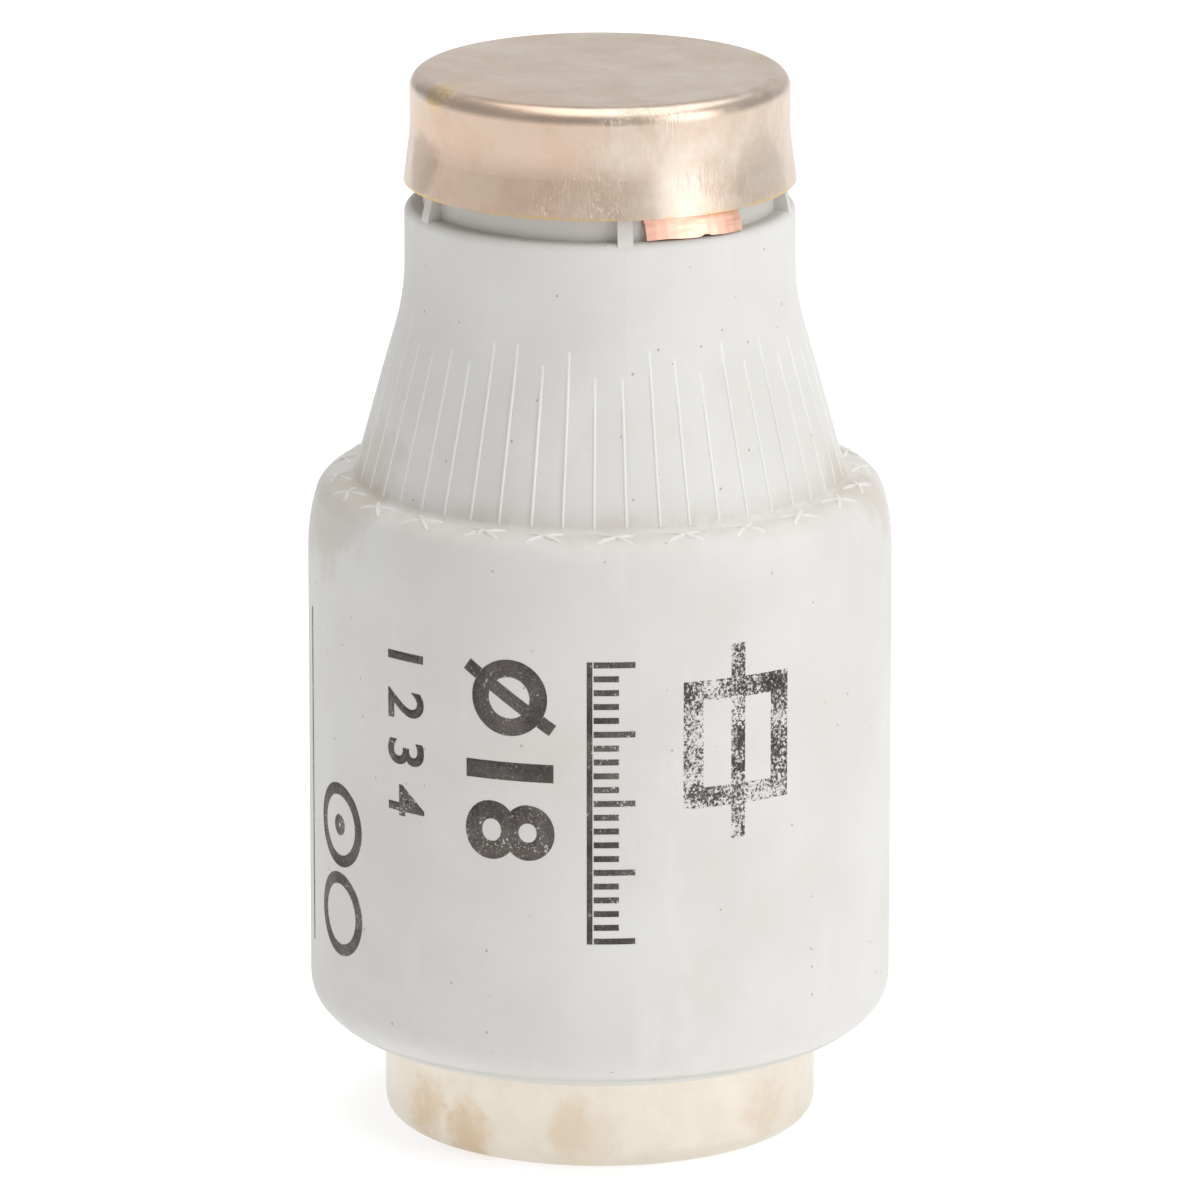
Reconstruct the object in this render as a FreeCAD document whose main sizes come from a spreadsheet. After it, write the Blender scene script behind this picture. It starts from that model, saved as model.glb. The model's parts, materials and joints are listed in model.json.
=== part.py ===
"""Bottle-shaped cartridge fuse with two contact caps, for a screw-in fuse base.

The fuse stands on its head contact. The Z axis is the axis of the whole object: Z = 0 is the
outer face of the head contact and total_height is the outer face of the foot contact.
Angles round the axis are measured from the front (-Y) towards the right-hand side (+X).
All lengths are millimetres and all angles are degrees.
"""
import FreeCAD, Part
import math
import os

import Sketcher

# ---------------------------------------------------------------- driving dimensions
DIMENSIONS = [
    # whole fuse
    ("total_height", 50.0, "outer face of the head contact to outer face of the foot contact"),
    ("base_step", 3.5, "how far the porcelain stands out past the head contact"),
    # contact caps, drawn from sheet
    ("cap_wall", 0.4, "sheet thickness of both caps"),
    ("head_radius", 10.1, "outer radius of the head contact"),
    ("head_depth", 4.35, "height of the head contact"),
    ("head_corner", 0.85, "outer round between face and skirt of the head contact"),
    ("foot_radius", 8.78, "outer radius of the foot contact at its face"),
    ("foot_depth", 5.1, "height of the foot contact"),
    ("foot_corner", 0.77, "outer round between face and skirt of the foot contact"),
    ("flare_height", 2.3, "part of the foot skirt that opens towards its rim"),
    ("flare_step", 0.3, "how far that part opens"),
    ("flare_round", 8.0, "round where the flare begins"),
    # porcelain, outside
    ("rim_gap", 0.05, "head contact rim to the porcelain above it"),
    ("lip_step", 0.25, "how far the porcelain seat stands out past the head contact"),
    ("heel_rise", 0.12, "rise of the nearly flat underside from the seat to the heel"),
    ("heel_width", 1.53, "width of the 45 degree heel before it is rounded"),
    ("heel_height", 1.53, "height of the 45 degree heel before it is rounded"),
    ("heel_inner_round", 3.5, "round from underside to heel"),
    ("heel_outer_round", 1.95, "round from heel to barrel"),
    ("shoulder_width", 2.17, "barrel surface to the foot of the cone"),
    ("edge_width", 0.62, "width of the slope that breaks the shoulder edge"),
    ("edge_height", 2.1, "height of that slope"),
    ("edge_upper_round", 1.18, "round from shoulder to slope"),
    ("edge_lower_round", 9.0, "round from slope to barrel"),
    ("shoulder_fillet", 0.4, "fillet between shoulder and cone"),
    ("cone_length", 8.7, "height of the cone"),
    ("cone_round", 11.5, "hollow round between cone and neck"),
    ("neck_length", 4.2, "height of the neck below the groove"),
    ("neck_step", 0.27, "how far the neck stands out past the foot contact"),
    ("neck_round", 0.4, "round at the top edge of the neck"),
    ("groove_height", 1.15, "bare groove between neck and foot contact"),
    # porcelain, inside
    ("pinch_gap", 0.18, "space between a spigot and its cap, where the copper is pinched"),
    ("spigot_round", 0.3, "round at the end of a spigot"),
    ("foot_seat_wall", 1.2, "wall round the foot sealing disc"),
    ("head_seat_wall", 1.12, "wall round the head sealing disc"),
    ("seat_ledge", 0.8, "width of the ledge that a sealing disc lies on"),
    ("chamber_drop", 0.85, "top of the wide chamber below the shoulder"),
    ("throat_length", 6.0, "height over which the chamber narrows to the neck bore"),
    # grip ribs that hold the caps on the spigots
    ("rib_count", 5, "ribs round each spigot"),
    ("rib_phase", 7.5, "angle of the first rib"),
    ("rib_span", 4.6, "angle that one rib covers"),
    ("rib_root", 0.2, "how deep a rib is rooted in its spigot"),
    ("rib_end_gap", 0.6, "end of a rib short of the end of its spigot"),
    ("rib_foot_step", 0.05, "rib foot inside the neck surface"),
    # copper fuse elements
    ("strip_width", 4.9, "width of a copper strip"),
    ("strip_thickness", 0.12, "thickness of a copper strip"),
    ("strip_play", 0.03, "clearance on each side of the copper where it is pinched"),
    ("strip_inset", 1.2, "wall of the neck bore to the strip"),
    ("strip_rib_gap", 2.08, "angle between a grip rib and the edge of the strip beside it"),
    ("strip_rib_steps", 2, "rib spaces from the front strip to the rear strip"),
    ("fold_round", 0.25, "inner round where a strip is folded over a spigot"),
    ("tail_show", 0.75, "how far the tail of a strip shows below the foot contact"),
    ("head_tail_length", 2.4, "length of the tail inside the head contact"),
    ("hole_radius", 0.62, "punched hole that narrows a strip"),
    ("hole_spacing", 1.63, "distance between the holes of one row"),
    ("row_count", 6, "rows of holes along a strip"),
    ("row_spacing", 4.5, "distance between the rows"),
    ("first_row", 9.0, "height of the first row"),
    # sealing discs and quartz sand
    ("disc_thickness", 1.0, "thickness of both sealing discs"),
    ("disc_play", 0.1, "clearance round a sealing disc"),
    ("foot_disc_gap", 0.12, "foot sealing disc below the end of its spigot"),
    ("slot_play", 0.06, "clearance round a strip in the sand and in the discs"),
    ("sand_play", 0.03, "clearance between the sand and the parts that enclose it"),
    # blown-fuse indicator
    ("cup_wall", 0.25, "sheet thickness of the indicator cup"),
    ("cup_depth", 2.85, "depth of the indicator cup"),
    ("cup_play", 0.1, "clearance round the cup in the head sealing disc"),
    ("flange_width", 0.85, "width of the cup flange"),
    ("flange_gap", 0.15, "cup flange to the fuse strips"),
    ("indicator_play", 0.3, "clearance round the indicator disc"),
    ("indicator_sink", 0.6, "indicator face above the head contact face"),
    ("indicator_thickness", 0.5, "thickness of the indicator disc"),
    ("indicator_edge", 0.12, "round at the edge of the indicator disc"),
    ("spring_inset", 1.35, "inner wall of the cup to the middle of the spring wire"),
    ("spring_wire", 0.35, "wire diameter of the spring"),
    ("spring_turns", 3, "turns of the spring"),
    ("wire_size", 0.12, "diameter of the indicator wire"),
    ("wire_play", 0.15, "clearance round the indicator wire in its passages"),
    ("wire_break", 6.0, "height at which the indicator wire parts when the fuse blows"),
    ("wire_gap", 0.05, "gap between the two ends of the wire at that height"),
    ("wire_tail_length", 3.0, "length of the wire pinched outside the foot spigot"),
    ("wire_rib_steps", 3.5, "rib spaces from the first rib to the wire"),
]

document = FreeCAD.newDocument("CartridgeFuse")
sheet = document.addObject("Spreadsheet::Sheet", "Sizes")
sheet.set("A1", "name")
sheet.set("B1", "value")
sheet.set("C1", "meaning")


class Size:
    """A dimension: the spreadsheet formula that features are bound to, and its value."""

    def __init__(self, formula, value):
        self.formula = formula
        self.value = value

    def joined(self, sign, other, value):
        return Size(f"({self.formula} {sign} {formula_of(other)})", value)

    def __add__(self, other):
        return self.joined("+", other, self.value + value_of(other))

    def __sub__(self, other):
        return self.joined("-", other, self.value - value_of(other))

    def __mul__(self, other):
        return self.joined("*", other, self.value * value_of(other))

    def __truediv__(self, other):
        return self.joined("/", other, self.value / value_of(other))

    def __neg__(self):
        return Size(f"(-1 * {self.formula})", -self.value)


def formula_of(size):
    return size.formula if isinstance(size, Size) else repr(size)


def value_of(size):
    return size.value if isinstance(size, Size) else float(size)


def arcsine(ratio):
    """The angle, in plain degrees, that has this sine."""
    return Size(f"(asin({ratio.formula}) / 1 deg)", math.degrees(math.asin(ratio.value)))


def read_sheet():
    """Fill the spreadsheet and return one Size for each driving dimension."""
    sizes = {}
    for row, (alias, number, meaning) in enumerate(DIMENSIONS, start=2):
        sheet.set(f"A{row}", alias)
        sheet.set(f"B{row}", str(number))
        sheet.set(f"C{row}", meaning)
        sheet.setAlias(f"B{row}", alias)
        sizes[alias] = Size(f"Sizes.{alias}", float(number))
    document.recompute()
    return sizes


class Named:
    """Gives the sizes of the spreadsheet as attributes."""

    def __init__(self, sizes):
        self.__dict__.update(sizes)


dim = Named(read_sheet())
ZERO = 0

# ---------------------------------------------------------------- derived places
body_radius = dim.head_radius + dim.base_step
foot_rim = dim.total_height - dim.foot_depth
neck_top = foot_rim - dim.groove_height
cone_top = neck_top - dim.neck_length
shoulder = cone_top - dim.cone_length
neck_radius = dim.foot_radius + dim.neck_step
cone_foot_radius = body_radius - dim.shoulder_width
underside = dim.head_depth + dim.rim_gap
lip_radius = dim.head_radius + dim.lip_step

foot_bore_of_cap = dim.foot_radius - dim.cap_wall
head_bore_of_cap = dim.head_radius - dim.cap_wall
foot_spigot_radius = foot_bore_of_cap - dim.pinch_gap
head_spigot_radius = head_bore_of_cap - dim.pinch_gap
foot_spigot_end = dim.total_height - dim.cap_wall - dim.pinch_gap
head_spigot_end = dim.cap_wall + dim.pinch_gap

foot_seat_radius = foot_spigot_radius - dim.foot_seat_wall
head_seat_radius = head_spigot_radius - dim.head_seat_wall
bore_radius = foot_seat_radius - dim.seat_ledge
chamber_radius = head_seat_radius - dim.seat_ledge
foot_seat = foot_spigot_end - dim.foot_disc_gap - dim.disc_thickness
flange_top = dim.cap_wall + dim.cup_wall
head_seat = flange_top + dim.disc_thickness
chamber_top = shoulder - dim.chamber_drop
throat_top = chamber_top + dim.throat_length

strip_offset = bore_radius - dim.strip_inset
strip_half = dim.strip_width / 2
tail_inside = foot_spigot_radius + dim.strip_play
rib_pitch = Size(f"(360 / {dim.rib_count.formula})", 360 / dim.rib_count.value)
rib_edge = dim.rib_phase + dim.rib_span / 2
front_strip_angle = rib_edge + dim.strip_rib_gap + arcsine(strip_half / tail_inside)
rear_strip_angle = front_strip_angle + rib_pitch * dim.strip_rib_steps
wire_angle = dim.rib_phase + rib_pitch * dim.wire_rib_steps

cup_radius = strip_offset - dim.flange_gap - dim.flange_width
window_radius = cup_radius - dim.cup_wall
cup_floor = dim.cap_wall + dim.cup_depth - dim.cup_wall
cup_top = dim.cap_wall + dim.cup_depth
indicator_radius = window_radius - dim.indicator_play
spring_radius = window_radius - dim.spring_inset
indicator_top = dim.indicator_sink + dim.indicator_thickness
wire_radius = dim.wire_size / 2
wire_passage = wire_radius + dim.wire_play


# ---------------------------------------------------------------- document helpers
def new_body(label):
    body = document.addObject("PartDesign::Body", label)
    body.Label = label
    return body


def origin_feature(body, role):
    return next(item for item in body.Origin.OriginFeatures if item.Role == role)


def new_sketch(body, name, plane):
    sketch = body.newObject("Sketcher::SketchObject", name)
    sketch.AttachmentSupport = [(origin_feature(body, plane), "")]
    sketch.MapMode = "FlatFace"
    return sketch


def bind_constraint(sketch, kind, *places, size):
    """Add a constraint whose value follows the spreadsheet."""
    index = sketch.addConstraint(Sketcher.Constraint(kind, *places, value_of(size)))
    if isinstance(size, Size):
        sketch.setExpression(f"Constraints[{index}]", size.formula)


def place_point(sketch, geometry, end, across, up):
    """Hold one point of a sketch at its distances from the sketch origin."""
    if across is ZERO:
        sketch.addConstraint(Sketcher.Constraint("PointOnObject", geometry, end, -2))
    else:
        bind_constraint(sketch, "DistanceX", -1, 1, geometry, end, size=across)
    if up is ZERO:
        sketch.addConstraint(Sketcher.Constraint("PointOnObject", geometry, end, -1))
    else:
        bind_constraint(sketch, "DistanceY", -1, 1, geometry, end, size=up)


class Corner:
    """A corner of an outline, sharp or rounded, with the ends of its round worked out."""

    def __init__(self, across, up, round_size=None):
        self.across = across
        self.up = up
        self.round_size = round_size
        self.point = FreeCAD.Vector(value_of(across), value_of(up), 0)
        self.arrive = self.point
        self.leave = self.point

    def fit_round(self, before, after):
        """Find where the round meets the sides that come from before and go to after."""
        back = (before - self.point).normalize()
        ahead = (after - self.point).normalize()
        half_angle = back.getAngle(ahead) / 2
        radius = value_of(self.round_size)
        self.arrive = self.point + back * (radius / math.tan(half_angle))
        self.leave = self.point + ahead * (radius / math.tan(half_angle))
        middle = (back + ahead).normalize()
        self.centre = self.point + middle * (radius / math.sin(half_angle))
        self.turns_left = back.cross(ahead).z < 0

    def arc(self):
        start, stop = (self.arrive, self.leave) if self.turns_left else (self.leave, self.arrive)
        circle = Part.Circle(self.centre, FreeCAD.Vector(0, 0, 1), value_of(self.round_size))
        angles = [math.atan2((end - self.centre).y, (end - self.centre).x) for end in (start, stop)]
        return Part.ArcOfCircle(circle, *angles)


def draw_path(sketch, places, closed=True):
    """Draw straight sides between corners; each place is (across, up) or (across, up, round)."""
    corners = [Corner(*place) for place in places]
    count = len(corners)
    for number, corner in enumerate(corners):
        if corner.round_size is not None:
            before = corners[number - 1].point
            after = corners[(number + 1) % count].point
            corner.fit_round(before, after)
    side_count = count if closed else count - 1
    sides = []
    for number in range(side_count):
        start = corners[number].leave
        stop = corners[(number + 1) % count].arrive
        sides.append(sketch.addGeometry(Part.LineSegment(start, stop), False))
    for number, corner in enumerate(corners):
        first = not closed and number == 0
        last = not closed and number == count - 1
        if last:
            place_point(sketch, sides[-1], 2, corner.across, corner.up)
        elif first:
            place_point(sketch, sides[0], 1, corner.across, corner.up)
        elif corner.round_size is None:
            sketch.addConstraint(Sketcher.Constraint("Coincident", sides[number - 1], 2, sides[number], 1))
            place_point(sketch, sides[number], 1, corner.across, corner.up)
        else:
            join_round(sketch, corner, sides[number - 1], sides[number])


def join_round(sketch, corner, side_in, side_out):
    """Add the round of a corner, tangent to both sides, and hold the corner it replaces."""
    arc = sketch.addGeometry(corner.arc(), False)
    start, stop = (1, 2) if corner.turns_left else (2, 1)
    sketch.addConstraint(Sketcher.Constraint("Tangent", side_in, 2, arc, start))
    sketch.addConstraint(Sketcher.Constraint("Tangent", arc, stop, side_out, 1))
    bind_constraint(sketch, "Radius", arc, size=corner.round_size)
    apex = sketch.addGeometry(Part.Point(corner.point), True)
    sketch.addConstraint(Sketcher.Constraint("PointOnObject", apex, 1, side_in))
    sketch.addConstraint(Sketcher.Constraint("PointOnObject", apex, 1, side_out))
    place_point(sketch, apex, 1, corner.across, corner.up)


def draw_circle(sketch, across, up, radius):
    centre = FreeCAD.Vector(value_of(across), value_of(up), 0)
    circle = sketch.addGeometry(Part.Circle(centre, FreeCAD.Vector(0, 0, 1), value_of(radius)), False)
    bind_constraint(sketch, "Radius", circle, size=radius)
    place_point(sketch, circle, 3, across, up)


def outline(body, name, plane, *loops):
    sketch = new_sketch(body, name, plane)
    for loop in loops:
        draw_path(sketch, loop)
    return sketch


def rectangle(left, right, low, high):
    return [(left, low), (right, low), (right, high), (left, high)]


def revolve(body, name, sketch, span=None):
    """Turn a profile round the Z axis: all the way, or over a span centred on its plane."""
    feature = body.newObject("PartDesign::Revolution", name)
    feature.Profile = (sketch, [""])
    feature.ReferenceAxis = (sketch, ["V_Axis"])
    feature.Angle = 360
    if span is not None:
        feature.Midplane = True
        feature.setExpression("Angle", span.formula)
    return feature


def pad(body, name, sketch, length):
    """Thicken a sketch equally to both sides of its plane."""
    feature = body.newObject("PartDesign::Pad", name)
    feature.Profile = (sketch, [""])
    feature.SideType = "Symmetric"
    feature.setExpression("Length", length.formula)
    return feature


def pocket(body, name, sketch, length):
    """Cut a sketch over half of a length to each side of its plane."""
    feature = body.newObject("PartDesign::Pocket", name)
    feature.Profile = (sketch, [""])
    feature.SideType = "Symmetric"
    feature.setExpression("Length", length.formula)
    return feature


def ring_of(body, features):
    """Repeat features round the Z axis, once for each grip rib."""
    pattern = body.newObject("PartDesign::PolarPattern", "ribs_round_axis")
    pattern.Originals = features
    pattern.Axis = (origin_feature(body, "Z_Axis"), [""])
    pattern.Angle = 360
    pattern.setExpression("Occurrences", dim.rib_count.formula)
    body.Tip = pattern


def turned(item, angle):
    """Turn an object that faces +X so that it faces the given angle from the front."""
    item.Placement = FreeCAD.Placement(
        item.Placement.Base,
        FreeCAD.Rotation(FreeCAD.Vector(0, 0, 1), angle.value - 90),
    )
    item.setExpression("Placement.Rotation.Angle", f"{angle.formula} - 90")
    return item


def bound(item, **sizes):
    """Bind properties of a Part object to the spreadsheet; Up is the height of its place."""
    for name, size in sizes.items():
        path = "Placement.Base.z" if name == "Up" else name
        item.setExpression(path, size.formula)
    return item


# ---------------------------------------------------------------- porcelain
def make_ceramic_body():
    """Barrel, cone and neck, with a spigot and a sealing-disc seat at each end."""
    body = new_body("ceramic_body")
    heel = underside + dim.heel_rise
    profile = outline(body, "porcelain_profile", "XZ_Plane", [
        (head_seat_radius, head_spigot_end),
        (head_spigot_radius, head_spigot_end, dim.spigot_round),
        (head_spigot_radius, underside),
        (lip_radius, underside),
        (body_radius - dim.heel_width, heel, dim.heel_inner_round),
        (body_radius, heel + dim.heel_height, dim.heel_outer_round),
        (body_radius, shoulder - dim.edge_height, dim.edge_lower_round),
        (body_radius - dim.edge_width, shoulder, dim.edge_upper_round),
        (cone_foot_radius, shoulder, dim.shoulder_fillet),
        (neck_radius, cone_top, dim.cone_round),
        (neck_radius, neck_top, dim.neck_round),
        (foot_spigot_radius, neck_top),
        (foot_spigot_radius, foot_spigot_end, dim.spigot_round),
        (foot_seat_radius, foot_spigot_end),
        (foot_seat_radius, foot_seat),
        (bore_radius, foot_seat),
        (bore_radius, throat_top),
        (chamber_radius, chamber_top),
        (chamber_radius, head_seat),
        (head_seat_radius, head_seat),
    ])
    revolve(body, "porcelain", profile)
    foot_rib = outline(body, "foot_rib_profile", "XZ_Plane", [
        (foot_spigot_radius - dim.rib_root, neck_top - dim.neck_round),
        (neck_radius - dim.rib_foot_step, neck_top - dim.neck_round),
        (foot_bore_of_cap + dim.flare_step - dim.strip_play, foot_rim),
        (foot_bore_of_cap, foot_rim + dim.flare_height),
        (foot_bore_of_cap, foot_spigot_end - dim.rib_end_gap),
        (foot_spigot_radius - dim.rib_root, foot_spigot_end - dim.rib_end_gap),
    ])
    head_rib = outline(body, "head_rib_profile", "XZ_Plane", rectangle(
        head_spigot_radius - dim.rib_root, head_bore_of_cap,
        head_spigot_end + dim.rib_end_gap, underside + dim.rib_root,
    ))
    ribs = [
        revolve(body, "foot_rib", foot_rib, dim.rib_span),
        revolve(body, "head_rib", head_rib, dim.rib_span),
    ]
    ring_of(body, ribs)
    return turned(body, dim.rib_phase)


# ---------------------------------------------------------------- contact caps
def make_foot_contact_cap():
    """Drawn cup over the upper spigot, its skirt flared towards the rim."""
    body = new_body("foot_contact_cap")
    flare_start = foot_rim + dim.flare_height
    inner_face = dim.total_height - dim.cap_wall
    profile = outline(body, "foot_cap_profile", "XZ_Plane", [
        (ZERO, dim.total_height),
        (ZERO, inner_face),
        (foot_bore_of_cap, inner_face, dim.foot_corner - dim.cap_wall),
        (foot_bore_of_cap, flare_start, dim.flare_round),
        (foot_bore_of_cap + dim.flare_step, foot_rim),
        (dim.foot_radius + dim.flare_step, foot_rim),
        (dim.foot_radius, flare_start, dim.flare_round),
        (dim.foot_radius, dim.total_height, dim.foot_corner),
    ])
    revolve(body, "foot_cap", profile)
    return body


def make_head_contact_cap():
    """Drawn cup over the lower spigot, with a round window for the indicator."""
    body = new_body("head_contact_cap")
    profile = outline(body, "head_cap_profile", "XZ_Plane", [
        (window_radius, ZERO),
        (dim.head_radius, ZERO, dim.head_corner),
        (dim.head_radius, dim.head_depth),
        (head_bore_of_cap, dim.head_depth),
        (head_bore_of_cap, dim.cap_wall, dim.head_corner - dim.cap_wall),
        (window_radius, dim.cap_wall),
    ])
    revolve(body, "head_cap", profile)
    return body


# ---------------------------------------------------------------- copper fuse elements
def make_fuse_element(label, angle):
    """Perforated copper strip, folded over both spigots and pinched by both caps."""
    body = new_body(label)
    tail_outside = tail_inside + dim.strip_thickness
    top = foot_spigot_end + dim.strip_play
    outer_round = dim.fold_round + dim.strip_thickness
    foot_fold = outline(body, "foot_fold_profile", "XZ_Plane", [
        (strip_offset / 2, top),
        (tail_inside, top, dim.fold_round),
        (tail_inside, foot_rim - dim.tail_show),
        (tail_outside, foot_rim - dim.tail_show),
        (tail_outside, top + dim.strip_thickness, outer_round),
        (strip_offset / 2, top + dim.strip_thickness),
    ])
    revolve(body, "foot_fold", foot_fold)
    head_inside = head_spigot_radius + dim.strip_play
    head_outside = head_inside + dim.strip_thickness
    bottom = head_spigot_end - dim.strip_play
    leg = outline(body, "leg_profile", "XZ_Plane", rectangle(
        strip_offset, strip_offset + dim.strip_thickness,
        bottom - dim.strip_thickness, top + dim.strip_thickness,
    ))
    pad(body, "leg", leg, dim.strip_width)
    head_fold = outline(body, "head_fold_profile", "XZ_Plane", [
        (strip_offset / 2, bottom),
        (head_inside, bottom, dim.fold_round),
        (head_inside, bottom + dim.head_tail_length),
        (head_outside, bottom + dim.head_tail_length),
        (head_outside, bottom - dim.strip_thickness, outer_round),
        (strip_offset / 2, bottom - dim.strip_thickness),
    ])
    revolve(body, "head_fold", head_fold)
    trim = outline(
        body, "width_of_strip", "XY_Plane",
        rectangle(-body_radius, body_radius, -body_radius, body_radius),
        rectangle(strip_offset, lip_radius, -strip_half, strip_half),
    )
    pocket(body, "cut_to_width", trim, dim.total_height * 2)
    row = new_sketch(body, "row_of_holes", "YZ_Plane")
    for side in (-dim.hole_spacing, None, dim.hole_spacing):
        draw_circle(row, ZERO if side is None else side, dim.first_row, dim.hole_radius)
    first = pocket(body, "punched_row", row, body_radius * 2)
    rows = body.newObject("PartDesign::LinearPattern", "punched_rows")
    rows.Originals = [first]
    rows.Direction = (origin_feature(body, "Z_Axis"), [""])
    rows.setExpression("Length", (dim.row_spacing * (dim.row_count - 1)).formula)
    rows.setExpression("Occurrences", dim.row_count.formula)
    body.Tip = rows
    return turned(body, angle)


# ---------------------------------------------------------------- discs and sand
def strip_passages(name, depth):
    """Upright boxes that clear both strips, from their inner faces outwards by a depth."""
    boxes = []
    for place, angle in (("front", front_strip_angle), ("rear", rear_strip_angle)):
        box = document.addObject("Part::Box", f"{name}_{place}")
        bound(
            box, Length=depth, Width=dim.strip_width + dim.slot_play * 2, Height=dim.total_height,
        )
        inner = strip_offset - dim.slot_play
        half = strip_half + dim.slot_play
        turned(box, angle)
        cosine = f"cos({angle.formula} - 90)"
        sine = f"sin({angle.formula} - 90)"
        corner_x = f"{inner.formula} * {cosine} + {half.formula} * {sine}"
        corner_y = f"{inner.formula} * {sine} - {half.formula} * {cosine}"
        box.setExpression("Placement.Base.x", corner_x)
        box.setExpression("Placement.Base.y", corner_y)
        boxes.append(box)
    both = document.addObject("Part::MultiFuse", name)
    both.Shapes = boxes
    return both


def cut_away(label, base, tool):
    """The named piece that is left of base once tool is taken away."""
    piece = document.addObject("Part::Cut", label)
    piece.Label = label
    piece.Base = base
    piece.Tool = tool
    return piece


def make_sealing_disc(label, seat_radius, hole_radius, low, notches):
    """Pressed-board disc with a hole in the middle and a rim notch for each strip."""
    blank = new_body(f"{label}_blank")
    profile = outline(blank, f"{label}_profile", "XZ_Plane", rectangle(
        hole_radius, seat_radius - dim.disc_play, low, low + dim.disc_thickness,
    ))
    revolve(blank, f"{label}_ring", profile)
    return cut_away(label, blank, notches)


def make_quartz_sand(slots):
    """The packed filling of the chamber, round the strips, the wire and the cup."""
    fill = new_body("sand_fill")
    wall = dim.sand_play
    profile = outline(fill, "sand_profile", "XZ_Plane", [
        (cup_radius + wall, head_seat + wall),
        (chamber_radius - wall, head_seat + wall),
        (chamber_radius - wall, chamber_top),
        (bore_radius - wall, throat_top),
        (bore_radius - wall, foot_seat - wall),
        (wire_passage, foot_seat - wall),
        (wire_passage, cup_top + wall),
        (cup_radius + wall, cup_top + wall),
    ])
    revolve(fill, "sand", profile)
    return cut_away("quartz_sand", fill, slots)


# ---------------------------------------------------------------- blown-fuse indicator
def make_indicator_cup():
    """Sheet cup behind the window, its flange held between head contact and sealing disc."""
    body = new_body("indicator_cup")
    profile = outline(body, "cup_profile", "XZ_Plane", [
        (window_radius, dim.cap_wall),
        (cup_radius + dim.flange_width, dim.cap_wall),
        (cup_radius + dim.flange_width, flange_top),
        (cup_radius, flange_top),
        (cup_radius, cup_top),
        (wire_passage, cup_top),
        (wire_passage, cup_floor),
        (window_radius, cup_floor),
    ])
    revolve(body, "cup", profile)
    return body


def make_indicator_disc():
    """Enamelled disc that the spring pushes out of the window when the wire parts."""
    body = new_body("indicator_disc")
    profile = outline(body, "indicator_profile", "XZ_Plane", [
        (ZERO, dim.indicator_sink),
        (indicator_radius, dim.indicator_sink, dim.indicator_edge),
        (indicator_radius, indicator_top),
        (ZERO, indicator_top),
    ])
    revolve(body, "indicator", profile)
    return body


def make_indicator_spring():
    """Coil spring between the indicator disc and the floor of the cup."""
    body = new_body("indicator_spring")
    section = new_sketch(body, "spring_section", "XZ_Plane")
    draw_circle(section, spring_radius, indicator_top + dim.spring_wire / 2, dim.spring_wire / 2)
    document.recompute()
    coil = body.newObject("PartDesign::AdditiveHelix", "coil")
    coil.Profile = (section, [""])
    coil.ReferenceAxis = (section, ["V_Axis"])
    coil.Mode = "height-turns-angle"
    coil.setExpression("Height", (cup_floor - indicator_top - dim.spring_wire).formula)
    coil.setExpression("Turns", dim.spring_turns.formula)
    return body


def make_indicator_wire():
    """Fine wire up the axis, over the foot sealing disc and down between spigot and cap."""
    body = new_body("indicator_wire")
    start = dim.wire_break + dim.wire_gap
    level = foot_spigot_end + dim.strip_play + wire_radius
    outside = foot_spigot_radius + dim.strip_play + wire_radius
    bend = dim.fold_round + wire_radius
    path = new_sketch(body, "wire_path", "XZ_Plane")
    draw_path(path, [
        (ZERO, start),
        (ZERO, level, bend),
        (outside, level, bend),
        (outside, level - dim.wire_tail_length),
    ], closed=False)
    section = new_sketch(body, "wire_section", "XY_Plane")
    section.setExpression("AttachmentOffset.Base.z", start.formula)
    draw_circle(section, ZERO, ZERO, wire_radius)
    document.recompute()
    pipe = body.newObject("PartDesign::AdditivePipe", "wire")
    pipe.Profile = (section, [""])
    pipe.Spine = (path, [f"Edge{number + 1}" for number in range(len(path.Shape.Edges))])
    return turned(body, wire_angle)


def make_indicator_wire_end():
    """The short end of the wire that leaves with the indicator disc."""
    wire = document.addObject("Part::Cylinder", "indicator_wire_end")
    wire.Label = "indicator_wire_end"
    return bound(wire, Radius=wire_radius, Height=dim.wire_break - indicator_top, Up=indicator_top)


# ---------------------------------------------------------------- assembly
def build_pieces():
    rim_notches = strip_passages("rim_notches", head_spigot_radius)
    sand_slots = strip_passages("sand_slots", dim.strip_thickness + dim.slot_play * 2)
    return [
        make_ceramic_body(),
        make_foot_contact_cap(),
        make_head_contact_cap(),
        make_fuse_element("fuse_element_front", front_strip_angle),
        make_fuse_element("fuse_element_rear", rear_strip_angle),
        make_sealing_disc("foot_sealing_disc", foot_seat_radius, wire_passage, foot_seat, rim_notches),
        make_sealing_disc(
            "head_sealing_disc", head_seat_radius, cup_radius + dim.cup_play, flange_top, rim_notches,
        ),
        make_quartz_sand(sand_slots),
        make_indicator_cup(),
        make_indicator_disc(),
        make_indicator_spring(),
        make_indicator_wire(),
        make_indicator_wire_end(),
    ]


def check_document():
    """Stop if any object of the document failed to compute."""
    for item in document.Objects:
        if "Invalid" in item.State or "Error" in item.State:
            raise RuntimeError(f"{item.Label} did not compute: {item.State}")


def write_pieces(pieces):
    """Check every piece and write it to a file that has the name of its node."""
    for piece in pieces:
        if piece.Shape.isNull() or not piece.Shape.isValid() or not piece.Shape.Solids:
            raise RuntimeError(f"{piece.Label} has no valid solid")
    os.makedirs("parts", exist_ok=True)
    for piece in pieces:
        piece.Shape.exportStep(f"parts/{piece.Label}.step")
        box = piece.Shape.BoundBox
        print(f"{piece.Label}: {len(piece.Shape.Solids)} solid, {piece.Shape.Volume:.3f} mm3, "
              f"Z {box.ZMin:.3f} to {box.ZMax:.3f}")


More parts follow.
